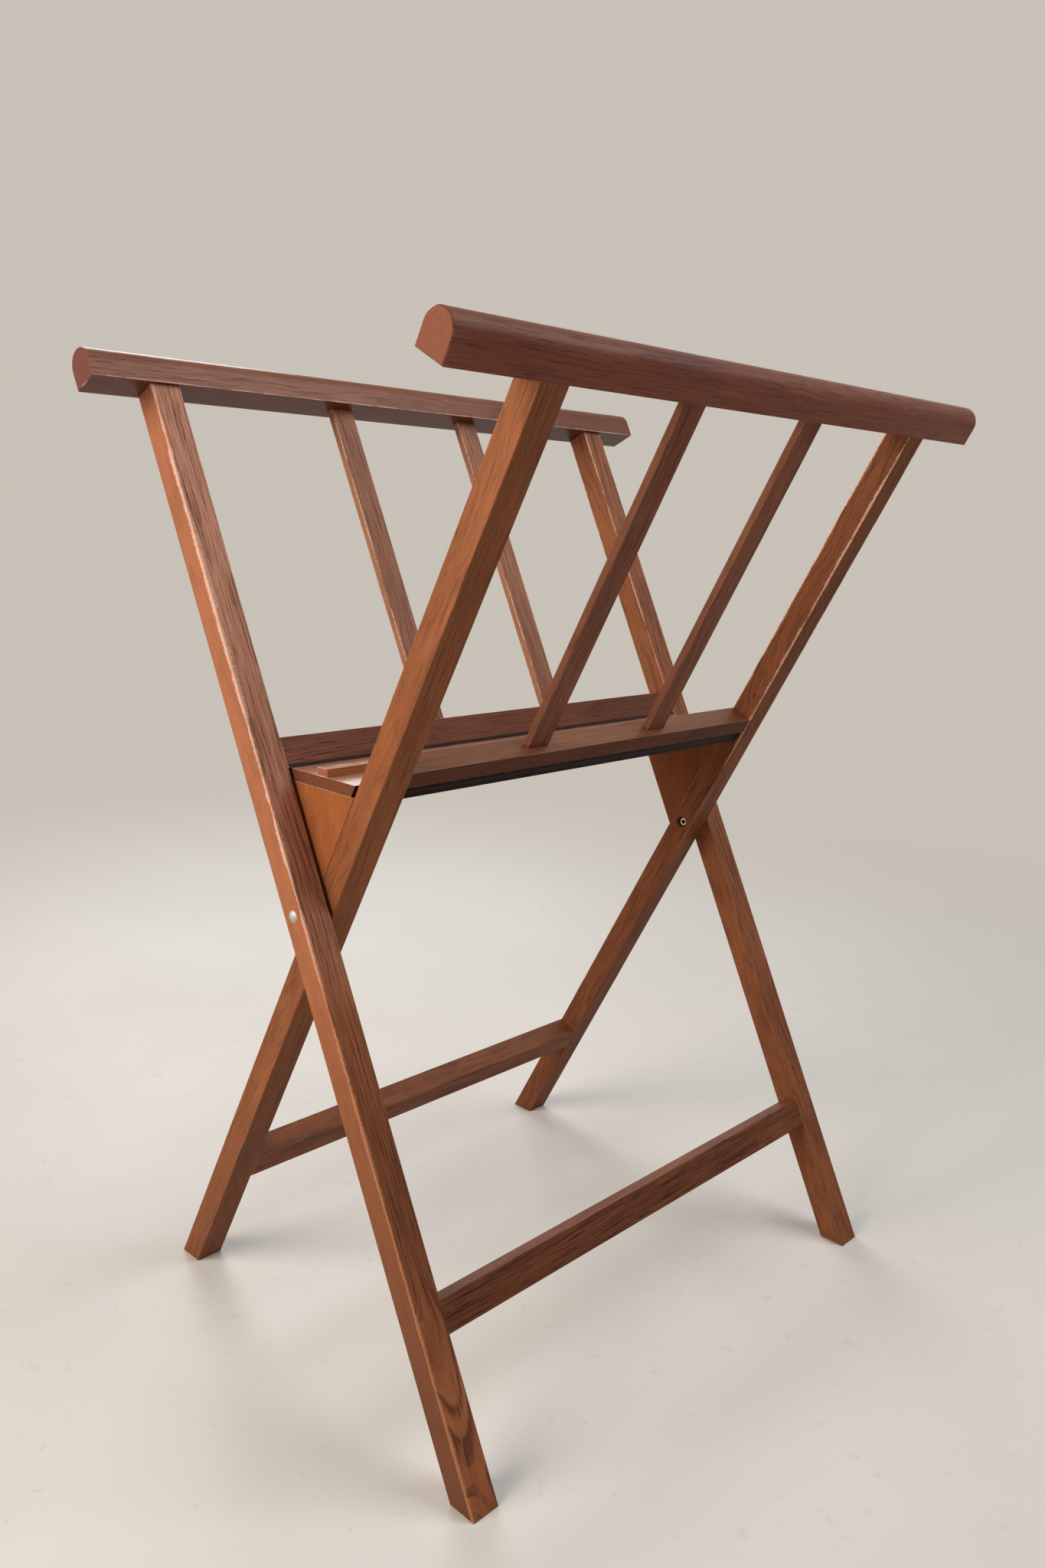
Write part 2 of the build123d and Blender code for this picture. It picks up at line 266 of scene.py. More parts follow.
class Graph:
    """Adds shader nodes to one tree and joins them."""

    def __init__(self, tree):
        self.tree = tree

    def feed(self, socket, value):
        """Links another node's output to a socket, or sets the socket to a plain value."""
        if isinstance(value, bpy.types.NodeSocket):
            self.tree.links.new(value, socket)
        else:
            socket.default_value = value

    def add(self, kind, inputs=None, **settings):
        """A new node with its settings and inputs."""
        node = self.tree.nodes.new(kind)
        for key, value in settings.items():
            setattr(node, key, value)
        for key, value in (inputs or {}).items():
            self.feed(node.inputs[key], value)
        return node

    def math(self, operation, *values, clamp=False):
        """Arithmetic on numbers."""
        node = self.add("ShaderNodeMath", dict(enumerate(values)), operation=operation)
        node.use_clamp = clamp
        return node.outputs[0]

    def vector(self, operation, *values):
        """Arithmetic on vectors."""
        node = self.add("ShaderNodeVectorMath", dict(enumerate(values)), operation=operation)
        return node.outputs["Value" if operation in ("LENGTH", "DOT_PRODUCT") else "Vector"]

    def place(self):
        """Where each point is, in metres."""
        return self.add("ShaderNodeTexCoord").outputs["Object"]

    def turn(self, vector, center, angle):
        """A vector turned about the Y axis through a center."""
        node = self.add("ShaderNodeVectorRotate", {"Vector": vector, "Center": center, "Angle": angle},
                        rotation_type="Y_AXIS")
        return node.outputs[0]

    def noise(self, vector, scale=1.0, detail=2.0, rough=0.5):
        """Clouds from 0 to 1."""
        node = self.add("ShaderNodeTexNoise", {"Vector": vector, "Scale": scale, "Detail": detail,
                                               "Roughness": rough})
        return node.outputs["Fac"]

    def remap(self, value, low, high, to_low=0.0, to_high=1.0, smooth=True):
        """A value between two limits, moved between two others."""
        node = self.add("ShaderNodeMapRange", {"Value": value, "From Min": low, "From Max": high,
                                               "To Min": to_low, "To Max": to_high})
        node.interpolation_type = "SMOOTHSTEP" if smooth else "LINEAR"
        return node.outputs["Result"]

    def mix(self, amount, first, second, kind="RGBA"):
        """Two colours, numbers or vectors mixed by an amount."""
        node = self.add("ShaderNodeMix", {"Factor": amount}, data_type=kind)
        one, two, mixed = MIX_SOCKETS[kind]
        self.feed(node.inputs[one], first)
        self.feed(node.inputs[two], second)
        return node.outputs[mixed]

    def ramp(self, value, stops):
        """Three values that change along a fourth: each stop is (place from 0 to 1, values)."""
        node = self.add("ShaderNodeValToRGB", {"Fac": value})
        points = node.color_ramp.elements
        points[0].position, points[1].position = stops[0][0], stops[-1][0]
        for stop in stops[1:-1]:
            points.new(stop[0])
        for point, stop in zip(points, stops):
            point.color = opaque(part / RAMP_LIMIT for part in stop[1:])
        parts = self.add("ShaderNodeSeparateColor", {0: node.outputs[0]}).outputs
        return [self.math("MULTIPLY", part, RAMP_LIMIT) for part in parts[:3]]

    def split(self, vector):
        """A vector's three parts."""
        node = self.add("ShaderNodeSeparateXYZ", {0: vector})
        return node.outputs[0], node.outputs[1], node.outputs[2]

    def join(self, x, y, z):
        """A vector from its three parts."""
        return self.add("ShaderNodeCombineXYZ", {0: x, 1: y, 2: z}).outputs[0]

    def group(self, tree, inputs):
        """A shared group with its own inputs."""
        node = self.add("ShaderNodeGroup")
        node.node_tree = tree
        for key, value in inputs.items():
            self.feed(node.inputs[key], value)
        return node.outputs


def new_group(name, inputs, outputs):
    """Shader group with named sockets. Returns its tree, its graph and its two end nodes."""
    tree = bpy.data.node_groups.new(name, "ShaderNodeTree")
    for in_out, sockets in (("INPUT", inputs), ("OUTPUT", outputs)):
        for label, kind, default in sockets:
            socket = tree.interface.new_socket(name=label, in_out=in_out,
                                               socket_type="NodeSocket" + kind)
            if default is not None:
                socket.default_value = default
    graph = Graph(tree)
    return tree, graph, graph.add("NodeGroupInput").outputs, graph.add("NodeGroupOutput").inputs


def piece_space():
    """Group: place and facing in the axes of one leaning piece, in millimetres, with z up its legs."""
    name = "Piece space"
    if name in bpy.data.node_groups:
        return bpy.data.node_groups[name]
    tree, graph, given, out = new_group(
        name,
        [("Lean", "Float", 0.0), ("Across", "Float", 0.0)],
        [("Local", "Vector", None), ("Grain", "Vector", None), ("Facing", "Vector", None)])
    source = graph.add("ShaderNodeTexCoord").outputs
    upright = graph.turn(source["Object"], PIVOT, given["Lean"])
    local = graph.vector("SCALE", graph.vector("SUBTRACT", upright, PIVOT))
    local.node.inputs["Scale"].default_value = MM
    x, y, z = graph.split(local)
    graph.feed(out["Local"], local)
    graph.feed(out["Grain"], graph.mix(given["Across"], local, graph.join(x, z, y), "VECTOR"))
    graph.feed(out["Facing"], graph.turn(source["Normal"], (0, 0, 0), given["Lean"]))
    return tree


def oak_grain():
    """Group: growth rings, pores, fibres and patches of oak. Lengths in millimetres.

    Bow is the strength of an arched figure, and Depth how far its crown is from the heart of the log.
    """
    name = "Oak grain"
    if name in bpy.data.node_groups:
        return bpy.data.node_groups[name]
    tree, graph, given, out = new_group(
        name,
        [("Vector", "Vector", None), ("Heart", "Vector", (26.0, 30.0, 0.0)),
         ("Spacing", "Float", 3.4), ("Drift", "Float", 0.012), ("Wander", "Float", 1.0),
         ("Bow", "Float", 0.0), ("Bow place", "Float", 0.0), ("Bow reach", "Float", 60.0),
         ("Depth", "Float", 100.0)],
        [("Ring", "Float", None), ("Pore", "Float", None), ("Fibre", "Float", None),
         ("Patch", "Float", None)])
    vector = given["Vector"]
    x, y, z = graph.split(vector)
    heart_x, heart_y, _ = graph.split(given["Heart"])
    away = graph.join(graph.math("SUBTRACT", x, heart_x), graph.math("SUBTRACT", y, heart_y), 0.0)
    radius = graph.vector("LENGTH", away)

    # The rings sway, slow and far first: how quickly on each axis, and how far
    for pitch, amount in (((0.02, 0.02, 0.006), 22.0), ((0.07, 0.07, 0.02), 6.5),
                          ((0.2, 0.2, 0.07), 1.7), ((0.5, 0.5, 0.25), 0.6)):
        sway = graph.noise(graph.vector("MULTIPLY", vector, pitch), detail=1.0)
        sway = graph.math("MULTIPLY", graph.math("SUBTRACT", sway, 0.5), amount)
        radius = graph.math("MULTIPLY_ADD", sway, given["Wander"], radius)

    # The arched figure: there the rings bend over the middle of the face and slope along it
    bent = graph.math("SUBTRACT", z, given["Bow place"])
    share = graph.math("ABSOLUTE", graph.math("DIVIDE", bent, given["Bow reach"]))
    arched = graph.remap(share, 0.7, 1.6, graph.math("MINIMUM", given["Bow"], 1.0), 0.0)
    flame = graph.noise(graph.vector("MULTIPLY", vector, (0.02, 0.02, 0.014)), detail=1.5, rough=0.35)
    side = graph.math("SUBTRACT", radius, given["Depth"])
    vault = graph.math("MULTIPLY_ADD", graph.math("MULTIPLY", side, side), 0.018,
                       graph.math("MULTIPLY", side, -0.85))
    hill = graph.math("ADD", vault, graph.math("MULTIPLY", bent, -0.12))
    hill = graph.math("MULTIPLY_ADD", flame, given["Bow"], hill)
    radius = graph.math("MULTIPLY_ADD", hill, arched, radius)
    radius = graph.math("MULTIPLY_ADD", z, given["Drift"], radius)

    # Broad and close rings of uneven strength, broken here and there
    depth = graph.math("DIVIDE", radius, given["Spacing"])
    broad = graph.noise(graph.join(depth, 0.0, graph.math("MULTIPLY", z, 0.004)), detail=1.0)
    broad = graph.math("MULTIPLY", graph.remap(broad, 0.41, 0.6),
                       graph.math("MULTIPLY_ADD", arched, 0.75, 0.2))
    close = graph.noise(graph.join(graph.math("MULTIPLY", depth, 2.3), 7.0,
                                   graph.math("MULTIPLY", z, 0.012)), detail=2.0, rough=0.6)
    close = graph.math("MULTIPLY", graph.remap(close, 0.46, 0.58),
                       graph.math("MULTIPLY_ADD", arched, -0.6, 0.78))
    ring = graph.math("ADD", broad, close)
    broken = graph.noise(graph.vector("MULTIPLY", vector, (0.25, 0.25, 0.03)), detail=3.0, rough=0.6)
    ring = graph.math("MULTIPLY", ring, graph.remap(broken, 0.34, 0.56, 0.4, 1.0), clamp=True)

    fine = graph.noise(graph.vector("MULTIPLY", vector, (0.8, 0.8, 0.045)), detail=3.0, rough=0.65)
    pore = graph.math("MULTIPLY", graph.remap(fine, 0.52, 0.62), graph.remap(ring, 0.0, 0.8, 0.4, 1.0))
    fibre = graph.noise(graph.vector("MULTIPLY", vector, (1.1, 1.1, 0.022)), detail=5.0, rough=0.75)
    patch = graph.noise(graph.vector("MULTIPLY", vector, (0.035, 0.035, 0.012)), detail=3.0)
    for label, value in (("Ring", ring), ("Pore", pore), ("Fibre", fibre), ("Patch", patch)):
        graph.feed(out[label], value)
    return tree


def worn_edge():
    """Group: mask of a ragged rubbed band along the edges of a squared piece, in millimetres.

    Up side is 1 or -1 for a leg that is worn most on that side along x, and 0 for no side. Out side is 1
    for one that is worn most away from the middle of the rack.
    """
    name = "Worn edge"
    if name in bpy.data.node_groups:
        return bpy.data.node_groups[name]
    tree, graph, given, out = new_group(
        name,
        [("Local", "Vector", None), ("Middle", "Vector", (0.0, 0.0, 0.0)),
         ("Half size", "Vector", (1.0, 1.0, 1.0)), ("Width", "Float", 1.0), ("Up side", "Float", 0.0),
         ("Out side", "Float", 0.0)],
        [("Worn", "Float", None)])
    centered = graph.vector("SUBTRACT", graph.vector("ABSOLUTE", given["Local"]), given["Middle"])
    _, outward, _ = graph.split(centered)
    upward, _, _ = graph.split(given["Local"])
    upward = graph.math("MULTIPLY", upward, given["Up side"])
    outward = graph.math("MULTIPLY", outward, given["Out side"])

    # An edge is where the second smallest of the distances to the faces comes to nothing
    centered = graph.vector("ABSOLUTE", centered)
    a, b, c = graph.split(graph.vector("SUBTRACT", given["Half size"], centered))
    inner = graph.math("MINIMUM", graph.math("MAXIMUM", a, b), c)
    second = graph.math("MAXIMUM", graph.math("MINIMUM", a, b), inner)

    stretch = graph.noise(graph.vector("MULTIPLY", given["Local"], (0.05, 0.05, 0.018)), detail=3.0,
                          rough=0.7)
    chips = graph.noise(graph.vector("MULTIPLY", given["Local"], (2.5, 2.5, 0.35)), detail=5.0, rough=0.75)
    wide = graph.math("MULTIPLY", given["Width"], graph.remap(stretch, 0.36, 0.6, 0.35, 1.3))
    wide = graph.math("MULTIPLY", wide, graph.remap(chips, 0.4, 0.6, 0.25, 1.5, smooth=False))
    wide = graph.math("MULTIPLY", wide, graph.remap(outward, -2.0, 0.0, 0.25, 1.0))
    wide = graph.math("MULTIPLY", wide, graph.remap(upward, -2.0, 0.0, 0.15, 1.0))
    ratio = graph.math("DIVIDE", second, wide)
    graph.feed(out["Worn"], graph.remap(ratio, 0.8, 1.1, 1.0, 0.0))
    return tree


def cut_faces():
    """Group: how strongly the rings show on each face, and the mask of the sawn ends."""
    name = "Cut faces"
    if name in bpy.data.node_groups:
        return bpy.data.node_groups[name]
    tree, graph, given, out = new_group(
        name,
        [("Facing", "Vector", None), ("Show", "Vector", (1.0, 1.0, 1.0)),
         ("Across", "Float", 0.0)],
        [("Strength", "Float", None), ("End", "Float", None)])
    facing = graph.vector("ABSOLUTE", given["Facing"])
    _, y, z = graph.split(facing)
    graph.feed(out["Strength"], graph.vector("DOT_PRODUCT", facing, given["Show"]))
    graph.feed(out["End"], graph.remap(graph.mix(given["Across"], z, y, "FLOAT"), 0.72, 0.82))
    return tree


def blank_material(name):
    """New material with a Principled shader. Returns it, its graph and the shader's inputs."""
    material = bpy.data.materials.new(name)
    material.use_nodes = True
    tree = material.node_tree
    tree.nodes.clear()
    graph = Graph(tree)
    shader = graph.add("ShaderNodeBsdfPrincipled")
    output = graph.add("ShaderNodeOutputMaterial")
    tree.links.new(shader.outputs[0], output.inputs[0])
    return material, graph, shader.inputs


def find_node(material, kind):
    """A material's first node of one kind."""
    return next(node for node in material.node_tree.nodes if node.type == kind)


def light_and_stain_along(graph, space, grain, stain):
    """How the stain, its painted light and shade, and the wear of the arrises change along a leg or a
    spindle.

    Of the stain, 1 is plain, less is darker with painted shade and some dirt, and more is paler with
    painted sheen and some rubbing.
    """
    _, _, level = graph.split(space["Local"])
    face_x, _, _ = graph.split(graph.vector("ABSOLUTE", space["Facing"]))
    level = graph.math("MULTIPLY_ADD", graph.math("SUBTRACT", grain["Patch"], 0.5), STAIN_WAVER, level)
    on_x, on_y, bare_edge = graph.ramp(graph.remap(level, *LEG_SPAN, smooth=False), stain)
    light = graph.mix(graph.remap(face_x, *TURN), on_y, on_x, "FLOAT")
    return light, bare_edge


def oak_material(name, lean, place, size, *, tone, show, wear, across=False, heart=(26.0, 30.0, 0.0),
                 spacing=3.4, wander=1.0, bow=(0.0, 0.0, 60.0), depth=100.0, pores=0.75, side=1.0,
                 underside_shade=1.0, top=0.0, shadow_seam=0.0, far=0.0, ends=None, stain=None, worn_side=0.0,
                 gloss=0.05, rough=0.0):
    """Stained oak for one kind of piece.

    lean, place, size: its lean in radians, its middle and half size from the pivot in its own axes
    tone, show, wear: tint of the stain, with painted light and shade, rings on the faces across each axis,
    share of the worn width
    across: the grain runs along the rack, not up the legs
    heart, spacing, wander, bow, depth: how it was cut from the log, in millimetres
    pores, side, underside_shade: share of the pores, and of the colour left on its sides and underneath,
    the rest being painted shade
    top, shadow_seam, far: varnish on top, height in millimetres of a painted shadow along the lower edge,
    painted shade toward the far end
    ends, stain: colour of the sawn ends, stops of the stain along it, which also hold painted light and
    shade
    worn_side: 1 or -1 if it is worn most on that side along x and away from the middle of the rack
    gloss, rough: specular level, what is added to the roughness
    """
    oak = bpy.context.scene.rack_oak
    material, graph, shader = blank_material(name.replace("_", " ").capitalize() + " oak")
    space = graph.group(piece_space(), {"Lean": lean, "Across": float(across)})
    grain = graph.group(oak_grain(), {
        "Vector": space["Grain"], "Heart": heart, "Spacing": spacing, "Wander": wander,
        "Bow": bow[0], "Bow place": bow[1], "Bow reach": bow[2], "Depth": depth})
    faces = graph.group(cut_faces(), {"Facing": space["Facing"], "Show": show, "Across": float(across)})
    width = MM * oak.arris * wear
    if stain:
        light, bare_edge = light_and_stain_along(graph, space, grain, stain)
        width = graph.math("MULTIPLY_ADD", bare_edge, 0.7 * width, 0.3 * width)
    edge = graph.group(worn_edge(), {
        "Local": space["Local"], "Middle": [MM * v for v in place], "Half size": [MM * v for v in size],
        "Width": width, "Up side": worn_side, "Out side": abs(worn_side)})
    rgba = {key: opaque(part * share for part, share in zip(getattr(oak, key), tone))
            for key in ("pale", "deep", "ring", "pore")}

    # Wood between the rings, then the rings and the pores
    wood = graph.mix(graph.remap(grain["Patch"], 0.3, 0.7, 0.0, 0.5), rgba["pale"], rgba["deep"])
    wood = graph.mix(graph.remap(grain["Fibre"], 0.35, 0.65, 0.0, 0.45), wood, rgba["deep"])
    ring = graph.math("MULTIPLY", grain["Ring"], faces["Strength"], clamp=True)
    # Above plain, the stain passes to paler wood: painted sheen with some rubbing
    if stain:
        wood = graph.mix(graph.math("SUBTRACT", light, 1.0, clamp=True), wood, opaque(oak.fading_and_sheen))
        ring = graph.math("MULTIPLY", ring, graph.remap(light, 1.0, 1.6, 1.0, 0.85, smooth=False))
    wood = graph.mix(ring, wood, rgba["ring"])
    open_pore = graph.math("MULTIPLY_ADD", faces["Strength"], 0.75 * pores, 0.25 * pores)
    wood = graph.mix(graph.math("MULTIPLY", grain["Pore"], open_pore, clamp=True), wood, rgba["pore"])

    # Painted shade on the sides, the underside, along the lower edge and toward the far end, and varnish on
    # top
    facing_x, _, up = graph.split(space["Facing"])
    # Painted shade on the faces across X
    if side < 1.0:
        turned = graph.remap(graph.math("ABSOLUTE", facing_x), *TURN)
        wood = graph.mix(graph.math("MULTIPLY", turned, 1.0 - side), wood, rgba["pore"])
    # Painted shade on the underside
    if underside_shade < 1.0:
        wood = graph.mix(graph.remap(up, -TURN[1], -TURN[0], 1.0 - underside_shade, 0.0), wood, rgba["pore"])
    # Painted shadow along the lower edge, from the overhang above the shelf
    if shadow_seam:
        _, _, level = graph.split(space["Local"])
        bottom = MM * (place[Z] - size[Z])
        shadow_mask = graph.remap(level, bottom + 0.5 * shadow_seam, bottom + shadow_seam, 0.95, 0.0)
        wood = graph.mix(shadow_mask, wood, opaque(oak.shade))
    # Painted shade toward the far end
    if far:
        _, along, _ = graph.split(space["Local"])
        wood = graph.mix(graph.remap(along, *FAR_SHADE_SPAN, 0.0, far, smooth=False), wood, rgba["pore"])
    if top:
        graph.feed(shader["Coat Weight"], graph.remap(up, *TURN, 0.0, top))
        shader["Coat Roughness"].default_value = 0.35

    # Sawn ends, painted shade and some dirt where the stain is below plain, and the worn arrises
    sawn = graph.mix(graph.math("MULTIPLY", grain["Pore"], 0.3), opaque(ends or oak.end), rgba["deep"])
    wood = graph.mix(faces["End"], wood, sawn)
    worn = graph.math("MULTIPLY", edge["Worn"], WORN_COVER)
    line = opaque(min(part * tone[0], 1.0) for part in oak.worn)
    if stain:
        wood = graph.mix(light, opaque(oak.grime_and_shade), wood)
        worn = graph.math("MULTIPLY", worn, graph.math("MULTIPLY", bare_edge, WORN_GAIN, clamp=True))
        line = graph.mix(graph.remap(bare_edge, 0.5, 1.0, smooth=False), opaque(oak.scuff),
                         opaque(oak.worn))
    graph.feed(shader["Base Color"], graph.mix(worn, wood, line))

    # Open rings, worn arrises and sawn ends are rougher, and the rings and pores lie deeper
    matt = graph.math("MULTIPLY_ADD", ring, 0.1, oak.sheen + rough)
    matt = graph.math("MULTIPLY_ADD", worn, 0.1, matt)
    graph.feed(shader["Roughness"], graph.math("MULTIPLY_ADD", faces["End"], 0.2, matt))
    height = graph.math("MULTIPLY_ADD", ring, 0.4, grain["Pore"])
    bump = graph.add("ShaderNodeBump", {"Height": graph.math("MULTIPLY", height, -1.0),
                                        "Distance": oak.relief, "Strength": 0.8})
    graph.feed(shader["Normal"], bump.outputs[0])
    shader["Specular IOR Level"].default_value = gloss
    return material


def dress(material, *nodes):
    """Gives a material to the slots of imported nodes."""
    for node in nodes:
        for place in frame["nodes"][node].material_slots:
            place.material = material


class RACK_OT_legs(bpy.types.Operator):
    """Stain the four legs, with the grain along each leg, and with painted light and shade along them"""
    bl_idname = "rack.legs"
    bl_label = "Legs"

    def execute(self, context):
        for node, look in LEG_LOOKS.items():
            heart_x, heart_y, _ = look["heart"]
            depth = math.hypot(heart_x, heart_y - MM * middle(node, Y))
            place = (0, abs(middle(node, Y)), 0)
            size = (LEG_DEEP / 2, LEG_WIDE / 2, ENDLESS)
            dress(oak_material(node, lean_side(node) * LEAN, place, size, depth=depth, **look), node)
        return {"FINISHED"}


class RACK_OT_spindles(bpy.types.Operator):
    """Stain the four flat spindles, with painted shade on the inner pair"""
    bl_idname = "rack.spindles"
    bl_label = "Spindles"

    def execute(self, context):
        for name, look in SPINDLE_LOOKS.items():
            front, back = name + "_front", name + "_back"
            place = (0, middle(back, Y), 0)
            size = (SPINDLE_DEEP / 2, SPINDLE_WIDE / 2, ENDLESS)
            material = oak_material(name, lean_side(name) * LEAN, place, size, spacing=2.6,
                                    show=(0.6, 0.2, 1.0), **look)
            dress(material, front, back)
        return {"FINISHED"}


class RACK_OT_rails(bpy.types.Operator):
    """Stain the top rails, mid rails and stretchers, with the grain along them and painted shade"""
    bl_idname = "rack.rails"
    bl_label = "Rails"

    def execute(self, context):
        for node, look in RAIL_LOOKS.items():
            side = lean_side(node)
            kind = node.split("_", 1)[1]
            level, high, deep, show = RAIL_KINDS[kind]
            shift = (TOP_RAIL_DEEP - LEG_DEEP) / 2 if kind == "top_rail" else 0.0
            material = oak_material(node, side * LEAN, (shift, 0, abs(level)), (deep, half(node, Y), high),
                                    across=True, show=show, spacing=2.0, wander=0.5, pores=0.9,
                                    **RAIL_LOGS[side], **look)
            dress(material, node)
        return {"FINISHED"}


class RACK_OT_shelf(bpy.types.Operator):
    """Stain the shelf, its strip and the two end panels, with painted shade and a painted reflection"""
    bl_idname = "rack.shelf"
    bl_label = "Shelf and panels"

    def execute(self, context):
        for node, look in SHELF_LOOKS.items():
            low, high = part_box(node)
            center = (low + high) / 2 - PIVOT
            size = [half(node, axis) for axis in range(3)]
            material = oak_material(node, 0.0, (abs(center.x), 0, center.z), size, across=True,
                                    show=(0.2, 0.2, 0.2), wear=0.2, rough=-0.18, **look)
            if node == "shelf":
                varnish_and_shade_shelf(material, context.scene.rack_oak)
            dress(material, node)
        for node, tone in PANEL_TONES_AND_SHADE.items():
            place = (0, abs(middle(node, Y)), 0)
            material = oak_material(node, 0.0, place, (ENDLESS, LEG_WIDE / 2, ENDLESS), tone=tone,
                                    show=(0.25, 0.12, 0.3), wear=0.2, pores=0.5)
            dress(material, node)
        return {"FINISHED"}


def varnish_and_shade_shelf(material, oak):
    """Varnishes the shelf's top and pales it with a painted reflection, and gives its long edges painted
    shade, nearly black, with their plies.
    """
    graph = Graph(material.node_tree)
    shader = find_node(material, "BSDF_PRINCIPLED").inputs
    wood = shader["Base Color"].links[0].from_socket
    source = graph.add("ShaderNodeTexCoord").outputs
    x, _, up = graph.split(source["Normal"])
    _, _, level = graph.split(source["Object"])
    # Painted shade on the long edges, which lie in shadow beneath the mid rails, with paler plies
    edge = graph.remap(graph.math("ABSOLUTE", x), 0.6, 0.7)
    low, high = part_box("shelf")
    share = graph.math("DIVIDE", graph.math("SUBTRACT", level, low.z), high.z - low.z)
    ply = graph.math("MULTIPLY", graph.remap(share, 0.3, 0.38), graph.remap(share, 0.58, 0.66, 1.0, 0.0))
    edge_shade = graph.mix(graph.math("MULTIPLY", ply, 0.8), opaque(oak.shade), opaque(oak.shade, 2.2))
    # Painted reflection: the top is paled toward the worn colour
    wood = graph.mix(graph.remap(up, 0.8, 0.9, 0.0, 0.3), wood, opaque(oak.worn))
    graph.feed(shader["Base Color"], graph.mix(edge, wood, edge_shade))
    graph.feed(shader["Coat Weight"], graph.remap(up, 0.8, 0.9, 0.0, 1.0))
    shader["Coat Roughness"].default_value = 0.3
    shader["Specular IOR Level"].default_value = 0.03


class RACK_OT_joinery(bpy.types.Operator):
    """Finish the dowels, rivets, washers and pins"""
    bl_idname = "rack.joinery"
    bl_label = "Dowels and rivets"

    def execute(self, context):
        oak = context.scene.rack_oak
        metal = context.scene.rack_metal
        material, graph, shader = blank_material("Dowel beech")
        speck = graph.noise(graph.place(), scale=900.0, detail=3.0)
        graph.feed(shader["Base Color"], graph.mix(speck, opaque(oak.end), opaque(oak.worn)))
        shader["Roughness"].default_value = 0.7
        dress(material, *[node for node in frame["nodes"] if node.endswith("dowels")])
        for name, shade, rough, node in (("Zinc rivet", metal.zinc, 0.55, "pivot_rivets"),
                                         ("Dull washer", metal.dull, 0.45, "pivot_washers"),
                                         ("Steel pin", metal.pin, 0.5, "strip_pins")):
            material, graph, shader = blank_material(name)
            marks = graph.noise(graph.place(), scale=1400.0, detail=4.0, rough=0.7)
            graph.feed(shader["Base Color"], graph.mix(graph.remap(marks, 0.4, 0.7, 0.0, 0.5),
                                                       opaque(shade), opaque(shade, 0.6)))
            graph.feed(shader["Roughness"], graph.remap(marks, 0.3, 0.7, rough, rough + metal.scratch))
            shader["Metallic"].default_value = 1.0
            if node == "pivot_rivets":
                paint_rivet_hole_shade(graph, shader, metal)
            dress(material, node)
        return {"FINISHED"}


def paint_rivet_hole_shade(graph, shader, metal):
    """Painted shade in the hole of each rivet's rolled end, and bright on its rolled lip."""
    tint = shader["Base Color"].links[0].from_socket
    x, y, z = graph.split(graph.vector("SUBTRACT", graph.place(), PIVOT))
    radius = graph.vector("LENGTH", graph.join(x, 0.0, z))
    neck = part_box("pivot_rivets")[1].y - 2 * RIVET_HEAD
    behind_head = graph.remap(graph.math("ABSOLUTE", y), neck - RIVET_HEAD, neck, 1.0, 0.0)
    # Painted shade inside the hole, reaching onto the inner slope of the rolled lip
    hole_shade_mask = graph.remap(radius, 1.1 * BORE_RADIUS, 1.35 * BORE_RADIUS, 1.0, 0.0)
    hole_shade_mask = graph.math("MULTIPLY", hole_shade_mask, behind_head)
    tint = graph.mix(behind_head, tint, opaque(metal.rolled))
    graph.feed(shader["Base Color"], graph.mix(hole_shade_mask, tint, opaque(metal.rivet_hole_shade)))


def add_camera():
    """Camera that frames the rack as the photograph does."""
    forward = Vector((-math.cos(CAMERA_YAW) * math.cos(CAMERA_PITCH),
                      math.sin(CAMERA_YAW) * math.cos(CAMERA_PITCH), math.sin(CAMERA_PITCH)))
    right = forward.cross(Vector((0, 0, 1))).normalized()
    up = right.cross(forward)
    right, up = (math.cos(CAMERA_ROLL) * right + math.sin(CAMERA_ROLL) * up,
                 math.cos(CAMERA_ROLL) * up - math.sin(CAMERA_ROLL) * right)
    data = bpy.data.cameras.new("Rack camera")
    data.sensor_fit = "VERTICAL"
    data.sensor_height = SENSOR
    data.lens = CAMERA_FOCUS * SENSOR / IMAGE_SIZE[1]
    data.shift_x = (IMAGE_SIZE[0] / 2 - CAMERA_MIDDLE[0]) / IMAGE_SIZE[1]
    data.shift_y = (CAMERA_MIDDLE[1] - IMAGE_SIZE[1] / 2) / IMAGE_SIZE[1]
    data.clip_start = 0.01
    camera = bpy.data.objects.new("Rack camera", data)
    bpy.context.scene.collection.objects.link(camera)
    turn = Matrix((right, up, -forward)).transposed()
    camera.matrix_world = Matrix.Translation(CAMERA_PLACE) @ turn.to_4x4()
    bpy.context.scene.camera = camera


def add_lamp(name, place, size, watts, tint):
    """Soft lamp that points at the middle of the rack and isn't seen itself."""
    data = bpy.data.lights.new(name, "AREA")
    data.shape = "RECTANGLE"
    data.size, data.size_y = size
    data.energy = watts
    data.color = tint
    lamp = bpy.data.objects.new(name, data)
    bpy.context.scene.collection.objects.link(lamp)
    lamp.location = place
    lamp.visible_camera = False
    lamp.rotation_euler = (Vector(LAMP_AIM) - Vector(place)).to_track_quat("-Z", "Y").to_euler()


def background_rays(graph):
    """1 for the rays that show the backdrop: the camera's, and those in reflections and through glass."""
    ray = graph.add("ShaderNodeLightPath").outputs
    seen = graph.math("MAXIMUM", ray["Is Camera Ray"], ray["Is Glossy Ray"])
    return graph.math("MAXIMUM", seen, ray["Is Transmission Ray"])


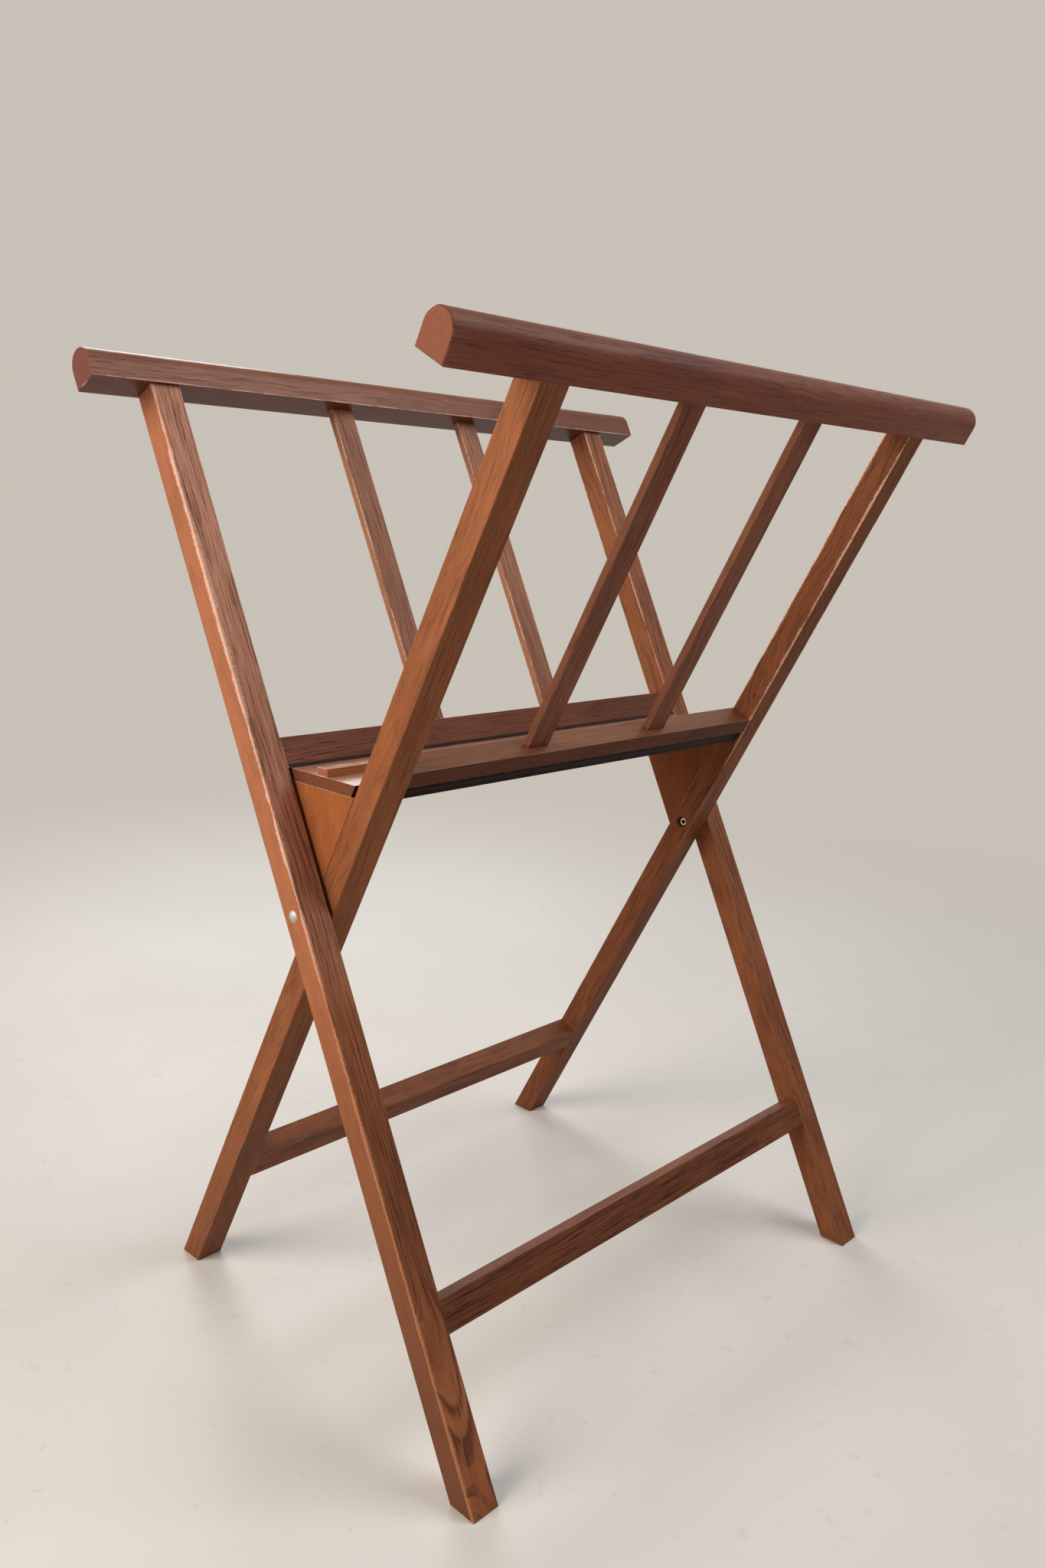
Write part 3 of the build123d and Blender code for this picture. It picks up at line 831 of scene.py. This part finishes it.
def floor_material(stage):
    """Pale screed with faint clouds, which fades into the backdrop away from the rack."""
    material, graph, shader = blank_material("Screed floor")
    place = graph.place()
    cloud = graph.noise(place, scale=1.6, detail=5.0, rough=0.6)
    grit = graph.noise(place, scale=60.0, detail=3.0, rough=0.6)
    tone = graph.mix(graph.remap(cloud, 0.3, 0.7, 0.0, 0.35), opaque(stage.floor),
                     opaque(stage.floor, 0.86))
    tone = graph.mix(graph.remap(grit, 0.62, 0.72, 0.0, 0.25), tone, opaque(stage.floor, 0.7))
    graph.feed(shader["Base Color"], tone)
    graph.feed(shader["Roughness"], graph.remap(cloud, 0.3, 0.7, 0.42, 0.55))
    shader["Specular IOR Level"].default_value = 0.3
    away = graph.remap(graph.vector("LENGTH", place), *FADE)
    plain = graph.add("ShaderNodeEmission", {"Color": opaque(stage.backdrop), "Strength": 1.0})
    fade = graph.add("ShaderNodeMixShader", {0: graph.math("MULTIPLY", away, background_rays(graph))})
    surface = find_node(material, "OUTPUT_MATERIAL").inputs[0]
    graph.feed(fade.inputs[1], surface.links[0].from_socket)
    graph.feed(fade.inputs[2], plain.outputs[0])
    graph.feed(surface, fade.outputs[0])
    return material


def add_floor(stage):
    """Flat floor that reaches past every view."""
    far = FLOOR_REACH
    mesh = bpy.data.meshes.new("studio_floor")
    mesh.from_pydata([(-far, -far, 0), (far, -far, 0), (far, far, 0), (-far, far, 0)], [], [(0, 1, 2, 3)])
    mesh.materials.append(floor_material(stage))
    floor = bpy.data.objects.new("studio_floor", mesh)
    bpy.context.scene.collection.objects.link(floor)


def add_backdrop(scene, stage):
    """World that shows as the plain backdrop and lights the rack evenly."""
    world = bpy.data.worlds.new("Studio")
    scene.world = world
    world.use_nodes = True
    tree = world.node_tree
    tree.nodes.clear()
    graph = Graph(tree)
    strength = graph.remap(background_rays(graph), 0.0, 1.0, stage.ambient, 1.0, smooth=False)
    back = graph.add("ShaderNodeBackground", {"Color": opaque(stage.backdrop), "Strength": strength})
    output = graph.add("ShaderNodeOutputWorld")
    tree.links.new(back.outputs[0], output.inputs[0])


class RACK_OT_stage(bpy.types.Operator):
    """Set the pale floor, the backdrop, the lamps and the camera"""
    bl_idname = "rack.stage"
    bl_label = "Stage"

    def execute(self, context):
        scene = context.scene
        stage = scene.rack_stage
        add_floor(stage)
        add_backdrop(scene, stage)
        add_lamp("Left lamp", (-0.5, -2.4, 1.5), (1.8, 1.6), stage.key, (1.0, 0.94, 0.86))
        add_lamp("Window lamp", (-2.1, 0.8, 1.95), (1.0, 0.7), stage.window, (0.92, 0.96, 1.0))
        add_lamp("Back lamp", (-2.0, 1.25, 1.1), (1.4, 0.9), stage.back, (0.94, 0.97, 1.0))
        add_lamp("Right lamp", (2.4, -0.3, 1.2), (1.6, 1.6), stage.fill, (1.0, 0.97, 0.93))
        add_lamp("Top lamp", (1.0, 0.85, 2.0), (1.4, 1.4), stage.top, (0.94, 0.97, 1.0))
        add_camera()
        scene.view_settings.view_transform = "Standard"
        return {"FINISHED"}


class RACK_PT_panel(bpy.types.Panel):
    """Buttons for each step of the rack's finish"""
    bl_label = "Folding rack"
    bl_idname = "RACK_PT_panel"
    bl_space_type = "VIEW_3D"
    bl_region_type = "UI"
    bl_category = "Rack"

    def draw(self, context):
        for step in STEPS:
            self.layout.operator(step.bl_idname)
        for group in (context.scene.rack_oak, context.scene.rack_metal, context.scene.rack_stage):
            box = self.layout.box()
            for name in group.__annotations__:
                box.prop(group, name)


GROUPS = {"rack_oak": RackOak, "rack_metal": RackMetal, "rack_stage": RackStage}
STEPS = (RACK_OT_legs, RACK_OT_spindles, RACK_OT_rails, RACK_OT_shelf, RACK_OT_joinery, RACK_OT_stage)


def register():
    for item in (*GROUPS.values(), *STEPS, RACK_PT_panel):
        bpy.utils.register_class(item)
    for name, group in GROUPS.items():
        setattr(bpy.types.Scene, name, PointerProperty(type=group))


def unregister():
    for name in GROUPS:
        delattr(bpy.types.Scene, name)
    for item in reversed((*GROUPS.values(), *STEPS, RACK_PT_panel)):
        bpy.utils.unregister_class(item)


def main():
    register()
    for step in STEPS:
        family, action = step.bl_idname.split(".")
        getattr(getattr(bpy.ops, family), action)()


if __name__ == "__main__":
    main()
